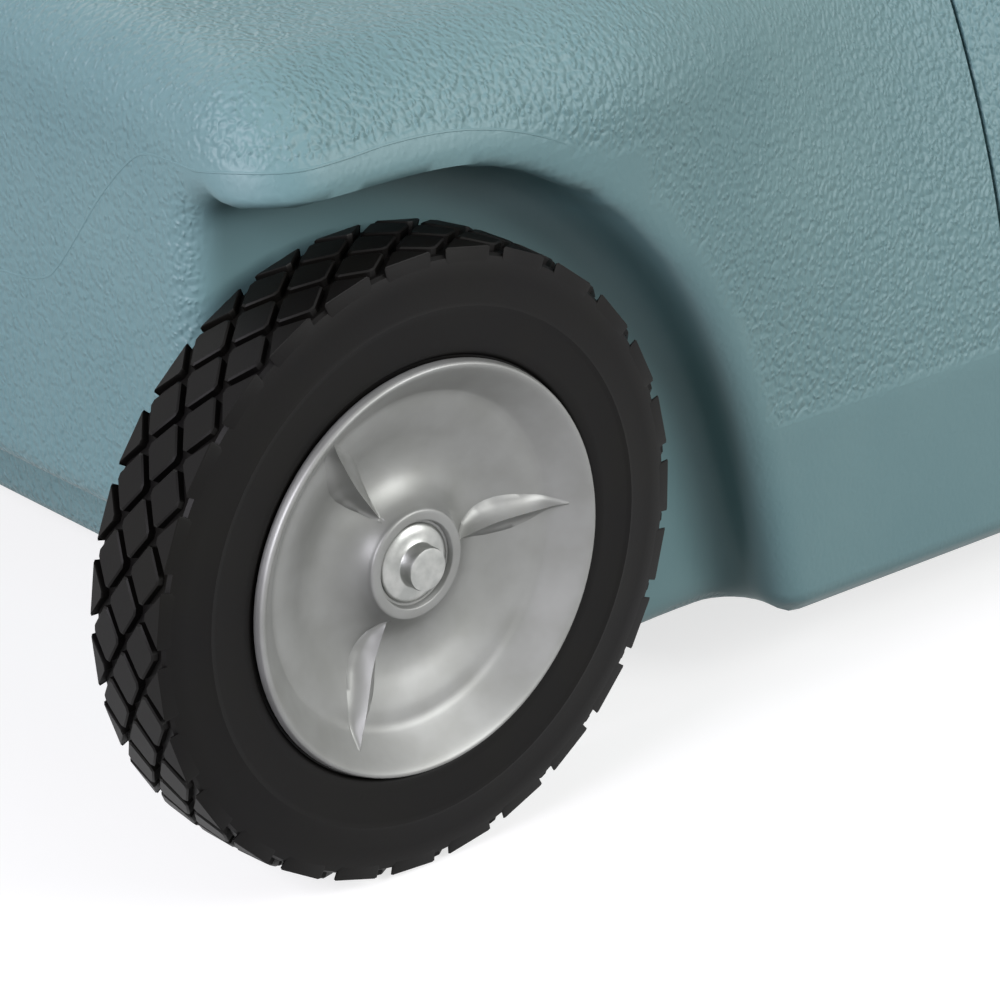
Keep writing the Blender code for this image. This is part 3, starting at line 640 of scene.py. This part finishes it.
def fin(bm, base):
    """A leaf-shaped rib from the boss to the dish's crease: sharp crest along its middle, hollow flanks."""
    rings = []
    for r, crest in flowing(FIN_CREST, 4):
        t = (r - FIN_CREST[0][0]) / (FIN_CREST[-1][0] - FIN_CREST[0][0])
        ridge = base - 2.0 * (1 - t) ** 2 - t ** 4
        half = math.degrees((FIN_EDGE + FIN_SWELL * math.sin(math.pi * t) ** 1.1) / r)
        floor = hub_depth(r)
        flank = [(f, floor - (floor - crest) * (1 - f) ** 1.8) for f in (0.72, 0.45, 0.22, 0.07)]
        line = [(-1.15, floor + FIN_SINK), (-1.0, floor)] + [(-f, d) for f, d in flank] + [(0.0, crest)]
        line += [(f, d) for f, d in reversed(flank)] + [(1.0, floor), (1.15, floor + FIN_SINK)]
        rings.append(looped(bm, [wheel_point(r, ridge + f * half, d) for f, d in line]))
    lofted(bm, rings)


def hub(side, tag):
    """The dished wheel disc with its boss, barrel and three fins."""
    line = [(p.x, p.y) for p in flowing(HUB_LINE, 3)] + HUB_BACK
    bm = spun(line, 120)
    bmesh.ops.recalc_face_normals(bm, faces=bm.faces)
    for base in FIN_ANGLES:
        fin(bm, base)
    seat_wheel(bm, side)
    finish_mesh("hub_" + tag + "_dished", bm, SILVER, "wheel_" + tag, ["hub_" + tag],
                angle=50.0)


def crown(u):
    """Radius of the tread's top, falling a little to both edges."""
    return TYRE_R - CROWN_DROP * abs((u - TREAD_MID) / TREAD_W) ** 3


def tread(bm):
    """Rows of diamonds between crossing grooves; the outer rows are lugs that run down the shoulder."""
    pitch = math.tau * TYRE_R / PITCHES
    half_s = pitch / 2 - GROOVE * 0.72
    half_u = TREAD_W / 2 - GROOVE * 0.52
    cut = 0.0009
    tip = cut * 1.4

    def lift(s, u, level):
        r = crown(u) - GROOVE_DEPTH * (1 - level)
        return wheel_point(r, math.degrees(s / TYRE_R), u)

    def near_skirt(s, r, level):
        face = LUG_FACE + LUG_LEAN * ((r - LUG_FOOT) / (LUG_TOP - LUG_FOOT)) ** 2
        return wheel_point(r, math.degrees(s / TYRE_R), mixed(LUG_ROOT, face, level))

    def far_skirt(s, r, level):
        spot = near_skirt(s, r, level)
        return Vector((spot.x, spot.y, 2 * TREAD_MID - spot.z))

    for row in range(-2, 3):
        mid = TREAD_MID + row * TREAD_W / 2
        for k in range(PITCHES):
            s = (k + 0.5 * (row % 2)) * pitch
            if abs(row) < 2:
                shape = [(s - half_s, mid - cut), (s - half_s, mid + cut), (s - tip, mid + half_u),
                         (s + tip, mid + half_u), (s + half_s, mid + cut), (s + half_s, mid - cut),
                         (s + tip, mid - half_u), (s - tip, mid - half_u)]
                block(bm, shape, lift)
                continue
            inward = half_u if row < 0 else -half_u
            shape = [(s - half_s, mid), (s + half_s, mid), (s + tip, mid + inward), (s - tip, mid + inward)]
            block(bm, shape, lift)
            foot = half_s * 0.96
            flank = [(s - half_s, LUG_TOP), (s + half_s, LUG_TOP), (s + foot, LUG_FOOT), (s - foot, LUG_FOOT)]
            block(bm, flank, near_skirt if row < 0 else far_skirt)


TYRE_LINE = [(0.0768, 0.0480), (0.0842, 0.0480), (0.0900, 0.0486), (0.1010, 0.0488), (0.1030, 0.0491),
             (0.1050, 0.0488), (0.1140, 0.0484), (0.1190, 0.0478), (0.1222, 0.0466), (0.1232, 0.0450),
             (0.1232, 0.0068), (0.1222, 0.0052), (0.1190, 0.0042), (0.1140, 0.0036), (0.1050, 0.0031),
             (0.1036, 0.0027), (0.1022, 0.0031), (0.1010, 0.0033), (0.0900, 0.0034), (0.0860, 0.0036),
             (0.0845, 0.0044), (0.0840, 0.0052), (0.0768, 0.0054)]


def tyre(side, tag):
    """The tyre's carcass with its tread blocks."""
    bm = spun(TYRE_LINE, 108)
    bmesh.ops.recalc_face_normals(bm, faces=bm.faces)
    tread(bm)
    seat_wheel(bm, side)
    finish_mesh("tyre_" + tag + "_treaded", bm, RUBBER, "wheel_" + tag, ["tyre_" + tag],
                angle=30.0)


NUT_LINE = [(0.0, 0.0033), (0.0073, 0.0033), (0.0085, 0.0037), (0.0088, 0.0046), (0.0088, 0.0096),
            (0.0092, 0.0100), (0.0124, 0.0103), (0.0146, 0.0110), (0.0159, 0.0120), (0.0160, 0.0122),
            (0.0067, 0.0122), (0.0067, 0.0061), (0.0, 0.0061)]


def push_nut(side, tag):
    """Domed nut pushed over the axle's end."""
    bm = spun(NUT_LINE, 64, closed=False)
    seat_wheel(bm, side)
    finish_mesh("push_nut_" + tag + "_domed", bm, ZINC, "body", ["push_nut_" + tag], angle=50.0)


for wheel_side, wheel_tag in ((1, "left"), (-1, "right")):
    hub(wheel_side, wheel_tag)
    tyre(wheel_side, wheel_tag)
    push_nut(wheel_side, wheel_tag)


# Fittings: turned pieces are (radius, height) profiles with eased corners
def softened(profile, ease, closed):
    """Cut each corner of a profile to two points a little way along its sides; open ends stay."""
    pts = [Vector(p) for p in profile]
    out = []
    for i, p in enumerate(pts):
        if not closed and i in (0, len(pts) - 1):
            out.append(p)
            continue
        for q in (pts[i - 1], pts[(i + 1) % len(pts)]):
            out.append(p + (q - p).normalized() * min(ease, 0.4 * (q - p).length))
    return [(p.x, p.y) for p in out]


def turned(node, profile, axis, centre, slot, body="body", closed=True, ribs=None, ease=0.0007):
    """A lathe-made piece standing for a node; ribs are (count, inner, outer, half width, low, high)."""
    bm = spun(softened(profile, ease, closed), 72, closed=closed)
    bmesh.ops.recalc_face_normals(bm, faces=bm.faces)
    if ribs:
        count, inner, outer, half, low, high = ribs
        for k in range(count):
            brick(bm, (inner, -half, low), (outer, half, high), half * 0.6, math.tau * k / count)
    stand(bm, axis, centre)
    finish_mesh(node + "_turned", bm, FINISH[slot], body, [node], angle=50.0)


def brick(bm, low, high, ease, turn=0.0, segments=2):
    """A block with eased edges, swung about Z."""
    size = Vector(high) - Vector(low)
    seat = Matrix.Rotation(turn, 4, "Z") @ Matrix.Translation((Vector(low) + Vector(high)) / 2)
    made = bmesh.ops.create_cube(bm, size=1.0, matrix=seat @ Matrix.Diagonal((*size, 1.0)))
    rounded(bm, list({e for v in made["verts"] for e in v.link_edges}), ease, segments)


def ports():
    """Collars, gaskets and caps of the inlet, the vent, the gauge and the drain."""
    inlet, vent, gauge = (INLET_X, 0, INLET_Z), (PORT_X, PORT_Y, PORT_Z), (PORT_X, -PORT_Y, PORT_Z)
    drain = (FRONT_X, 0, DRAIN_Z)
    turned("inlet_collar", [(0.036, -0.0275), (0.0415, -0.0275), (0.0415, 0.0028), (0.058, 0.0028),
                            (0.058, 0.0078), (0.0425, 0.0078), (0.0425, 0.0228), (0.036, 0.0228)], "Z", inlet,
           "black_abs")
    turned("inlet_gasket", [(0.043, RUN), (0.057, RUN), (0.057, 0.0025), (0.043, 0.0025)], "Z", inlet,
           "seal_rubber")
    turned("inlet_cap", [(0, 0.0292), (0.033, 0.0292), (0.036, 0.0310), (0.0450, 0.0310), (0.0466, 0.0294),
                         (0.0466, 0.0105), (0.0429, 0.0105), (0.0429, 0.0233), (0, 0.0233)], "Z", inlet,
           "black_abs", "fill_cap", False, (26, 0.0455, 0.0480, 0.0022, 0.0112, 0.0286))
    turned("vent_collar", [(0.009, -0.0135), (0.012, -0.0135), (0.012, RUN), (0.022, RUN), (0.022, 0.0043),
                           (0.0145, 0.0043), (0.0145, 0.0125), (0.009, 0.0125)], "Z", vent, "black_abs")
    turned("vent_cap", [(0, 0.0178), (0.011, 0.0178), (0.0125, 0.0185), (0.0165, 0.0185), (0.0172, 0.0178),
                        (0.0172, 0.0057), (0.0149, 0.0057), (0.0149, 0.0130), (0, 0.0130)], "Z", vent,
           "black_abs", "breather_cap", False, (20, 0.0166, 0.0180, 0.0010, 0.0062, 0.0172))
    turned("gauge_base", [(0.0029, -0.0135), (0.012, -0.0135), (0.012, RUN), (0.022, RUN), (0.022, 0.0043),
                          (0.0029, 0.0043)], "Z", gauge, "black_abs")
    turned("gauge_dome", [(0, 0.0305), (0.0105, 0.0302), (0.0140, 0.0288), (0.0150, 0.0262), (0.0150, 0.0046),
                          (0.0128, 0.0046), (0.0128, 0.0255), (0.0100, 0.0278), (0, 0.0285)], "Z", gauge,
           "clear_dome", closed=False)
    turned("drain_gasket", [(0.041, RUN), (0.054, RUN), (0.054, 0.003), (0.041, 0.003)], "X", drain,
           "seal_rubber")
    flange = VALVE_FACE + 0.005
    turned("outlet_spigot", [(0.037, VALVE_FACE), (0.050, VALVE_FACE), (0.050, flange), (0.043, flange),
                             (0.043, 0.0530), (0.037, 0.0530)], "X", drain, "black_abs")
    turned("outlet_cap", [(0, 0.0588), (0.034, 0.0588), (0.036, 0.0600), (0.0462, 0.0600), (0.0476, 0.0586),
                          (0.0476, 0.0365), (0.0435, 0.0365), (0.0435, 0.0536), (0, 0.0536)], "X", drain,
           "black_abs", "drain_cap", False, (28, 0.0466, 0.0490, 0.0020, 0.0372, 0.0580))


def valve():
    """Gate valve: two moulded halves round the blade, its rod and pull handle, held by four hex bolts."""
    def plate(x0, x1):
        outline = softened(box_outline((-0.058, VALVE_LO), (0.058, VALVE_HI)), 0.004, True)
        bm = slab(outline, "X", x0, x1)
        rims = [e for e in bm.edges if abs(e.verts[0].co.x - e.verts[1].co.x) < 1e-6]
        rounded(bm, rims, 0.0012)
        return loose("plate", bm)

    def bore():
        return loose("bore", drum("X", (VALVE_X, 0, DRAIN_Z), 0.038, 0.10))

    hollow = slab(box_outline((-0.047, VALVE_LO + 0.0065), (0.047, VALVE_HI - 0.008)), "X", VALVE_X + 0.0077,
                  VALVE_X + 0.03)
    rod_hole = loose("rod_hole", drum("Z", (BLADE_X, 0, VALVE_HI), 0.0034, 0.03))
    rear = baked(plate(VALVE_X, VALVE_X + 0.0167), [loose("hollow", hollow), bore(), rod_hole])
    finish_mesh("valve_rear_moulded", rear, ABS, "body", ["valve_rear"], angle=50.0)
    front = baked(plate(VALVE_X + 0.0170, VALVE_X + 0.0247), [bore()])
    for rise in (0.064, 0.076, 0.088, 0.100):
        z = DRAIN_Z + rise
        brick(front, (VALVE_X + 0.0240, -0.036, z), (VALVE_X + 0.0257, 0.036, z + 0.004), 0.0006)
    finish_mesh("valve_front_moulded", front, ABS, "body", ["valve_front"], angle=50.0)
    low, high = GATE_Z + RUN, GATE_Z + 0.112
    turned("gate_rod", [(0, low), (0.003, low), (0.003, high), (0, high)], "Z", (BLADE_X, 0, 0), "zinc_steel",
           "gate", False)
    grip = bmesh.new()
    brick(grip, (BLADE_X - 0.008, -0.040, GATE_Z + 0.1123), (BLADE_X + 0.008, 0.040, GATE_Z + 0.1285), 0.0062,
          segments=5)
    finish_mesh("gate_pull", grip, RED, "gate", ["gate_handle"], angle=50.0)
    head = VALVE_FACE
    spots = [(y, z) for z in (DRAIN_Z - 0.030, DRAIN_Z + 0.113) for y in (-0.0525, 0.0525)]
    for i, (y, z) in enumerate(spots):
        bm = spun([(0, -0.0022), (0.0025, -0.0022), (0.0025, head), (0, head)], 24, closed=False)
        hexagon = [(0, head), (0.0045, head), (0.0045, head + 0.0024), (0.0038, head + 0.0034),
                   (0, head + 0.0034)]
        spun(hexagon, 6, bm, False)
        stand(bm, "X", (FRONT_X, y, z))
        node = "valve_bolt_%d" % (i + 1)
        finish_mesh(node + "_hex", bm, ZINC, "body", [node], angle=25.0)


def tow():
    """Bent tube handle with a ringed rubber grip, swinging on two pins."""
    bend = 0.030
    half = [(PIVOT_Y, PIVOT_Z + 0.014), (PIVOT_Y, PIVOT_Z + 0.012), (PIVOT_Y, PIVOT_Z - 0.10)]
    half += [(PIVOT_Y - bend + bend * math.cos(a), BAR_Z + bend - bend * math.sin(a))
             for a in np.linspace(0, math.pi / 2, 13)]
    path = half + [(-y, z) for y, z in reversed(half)]
    bm = bmesh.new()
    rings = []
    for i, (y, z) in enumerate(path):
        ahead, behind = path[min(i + 1, len(path) - 1)], path[max(i - 1, 0)]
        along = Vector((0, ahead[0] - behind[0], ahead[1] - behind[1])).normalized()
        aside = along.cross(Vector((1, 0, 0)))
        turn = Matrix((Vector((1, 0, 0)), aside, along)).transposed().to_4x4()
        seat = Matrix.Translation((PIVOT_X, y, z)) @ turn
        radius = TUBE_R - (0.0015 if i in (0, len(path) - 1) else 0.0)
        made = bmesh.ops.create_circle(bm, segments=28, radius=radius, matrix=seat)
        rings.append(list({e for v in made["verts"] for e in v.link_edges}))
    lofted(bm, rings)
    bmesh.ops.recalc_face_normals(bm, faces=bm.faces)
    bm = baked(loose("tube", bm), [loose("pivot", drum("Y", (PIVOT_X, 0, PIVOT_Z), 0.0043, 0.44))])
    finish_mesh("tow_tube", bm, ZINC, "tow_bar", ["tow_handle"], angle=50.0)
    reach, ring, valley = 0.080, 0.0145, 0.0133
    line = [(TUBE_R + RUN, -reach)]
    for k in range(20):
        y = -reach + 0.008 * k
        line += [(ring, y), (ring, y + 0.0048), (valley, y + 0.0056), (valley, y + 0.0072)]
    line += [(ring, reach), (TUBE_R + RUN, reach)]
    turned("tow_grip", line, "Y", (PIVOT_X, 0, BAR_Z), "seal_rubber", "tow_bar", ease=0.0003)
    out = TUBE_R + 0.0045
    pin = [(0, -out - 0.004), (0.0062, -out - 0.004), (0.0075, -out - 0.0025), (0.0075, -out - RUN),
           (0.004, -out - RUN)]
    pin = pin + [(r, -y) for r, y in reversed(pin)]
    for s, tag in ((1, "left"), (-1, "right")):
        turned("tow_pivot_" + tag, pin, "Y", (PIVOT_X, s * PIVOT_Y, PIVOT_Z), "zinc_steel", closed=False)


def running_gear():
    """Axle, its spacers and the rubber skid under the tow end."""
    end = RIM_Y - 0.0063
    turned("rear_axle", [(0, -end), (AXLE_R, -end), (AXLE_R, end), (0, end)], "Y", (AXLE_X, 0, AXLE_Z),
           "zinc_steel", closed=False)
    spacer = [(AXLE_R + RUN, 0.0518), (0.014, 0.0518), (0.014, 0.0557), (AXLE_R + RUN, 0.0557)]
    for s, tag in ((1, "left"), (-1, "right")):
        turned("axle_spacer_" + tag, [(r, -s * u) for r, u in spacer], "Y", (AXLE_X, s * RIM_Y, AXLE_Z),
               "black_abs")
    bm = bmesh.new()
    reach = SIDE_Y - 0.071
    brick(bm, (FRONT_X - 0.080, -reach, 0.008), (FRONT_X - 0.025, reach, BOTTOM_Z - RUN), 0.004)
    pads = 9
    pitch = 2 * reach / pads
    for k in range(pads):
        y = -reach + pitch * k
        brick(bm, (FRONT_X - 0.0785, y + 0.003, 0.0), (FRONT_X - 0.0265, y + pitch - 0.003, 0.0115), 0.0025)
    finish_mesh("skid_padded", bm, SEAL, "body", ["front_skid"], angle=50.0)


ports()
valve()
tow()
running_gear()


# Stage: pale floor, soft lights and the photograph's view of the rear right wheel
FLOOR_GLOW, ROOM_LIGHT = 0.72, 0.12
VIEW_FROM, VIEW_DOWN, VIEW_TURN, VIEW_LENS = (-0.94127, -1.12130, 0.64658), 22.85, -40.98, 152.7


def seen_share(tree):
    """1 for rays by which the camera, metal or glass sees the backdrop, 0 for light falling on the object."""
    ray = add(tree, "ShaderNodeLightPath")
    share = add(tree, "ShaderNodeMath", {0: ray.outputs["Is Camera Ray"], 1: ray.outputs["Is Glossy Ray"]},
                operation="MAXIMUM")
    share = add(tree, "ShaderNodeMath", {0: share.outputs["Value"], 1: ray.outputs["Is Transmission Ray"]},
                operation="MAXIMUM")
    return share.outputs["Value"]


def stage():
    """A floor that fades into a white surround but keeps the object's shadow."""
    bm = bmesh.new()
    bmesh.ops.create_grid(bm, x_segments=1, y_segments=1, size=12.0)
    floor = loose("studio_floor", bm)
    mat, tree, shader, _ = blank("pale_floor", 0.9)
    shader.inputs["Specular IOR Level"].default_value = 0.0
    tone = add(tree, "ShaderNodeMixRGB", {"Fac": seen_share(tree), "Color1": srgb("#5a5a5a"),
                                          "Color2": srgb("#a8a8a8")})
    tree.links.new(tone.outputs["Color"], shader.inputs["Base Color"])
    glow = add(tree, "ShaderNodeMath", {0: seen_share(tree), 1: FLOOR_GLOW}, operation="MULTIPLY")
    shader.inputs["Emission Color"].default_value = srgb("#ffffff")
    tree.links.new(glow.outputs["Value"], shader.inputs["Emission Strength"])
    floor.data.materials.append(mat)
    world = bpy.data.worlds.new("studio")
    world.use_nodes = True
    bpy.context.scene.world = world
    tree = world.node_tree
    back = tree.nodes["Background"]
    back.inputs["Color"].default_value = srgb("#ffffff")
    level = add(tree, "ShaderNodeMapRange", {"Value": seen_share(tree), "To Min": ROOM_LIGHT, "To Max": 1.0})
    tree.links.new(level.outputs["Result"], back.inputs["Strength"])


def lamp(name, place, target, size, power, shade="#ffffff"):
    light = bpy.data.lights.new(name, "AREA")
    light.size = size
    light.energy = power
    light.color = srgb(shade)[:3]
    ob = bpy.data.objects.new(name, light)
    ob.location = place
    ob.rotation_euler = (Vector(target) - Vector(place)).to_track_quat("-Z", "Y").to_euler()
    bpy.context.scene.collection.objects.link(ob)


def camera():
    view = bpy.data.cameras.new("photo_view")
    view.sensor_width = 36.0
    view.lens = VIEW_LENS
    ob = bpy.data.objects.new("photo_view", view)
    ob.location = (AXLE_X + VIEW_FROM[0], -RIM_Y + VIEW_FROM[1], AXLE_Z + VIEW_FROM[2])
    ob.rotation_euler = (math.radians(90.0 - VIEW_DOWN), 0.0, math.radians(VIEW_TURN))
    bpy.context.scene.collection.objects.link(ob)
    bpy.context.scene.camera = ob


stage()
lamp("rear_soft", (-3.0, -0.7, 1.5), (-0.3, -0.1, 0.15), 1.5, 99.0, "#f7f4ff")
lamp("side_soft", (1.0, -2.7, 1.7), (-0.1, -0.2, 0.15), 1.8, 74.0)
lamp("far_fill", (0.4, 3.0, 1.6), (0.0, 0.2, 0.15), 2.0, 24.0)
lamp("top_soft", (0.2, 0.2, 3.0), (0.0, 0.0, 0.2), 2.0, 10.0)
camera()
bpy.context.scene.view_settings.view_transform = "Standard"
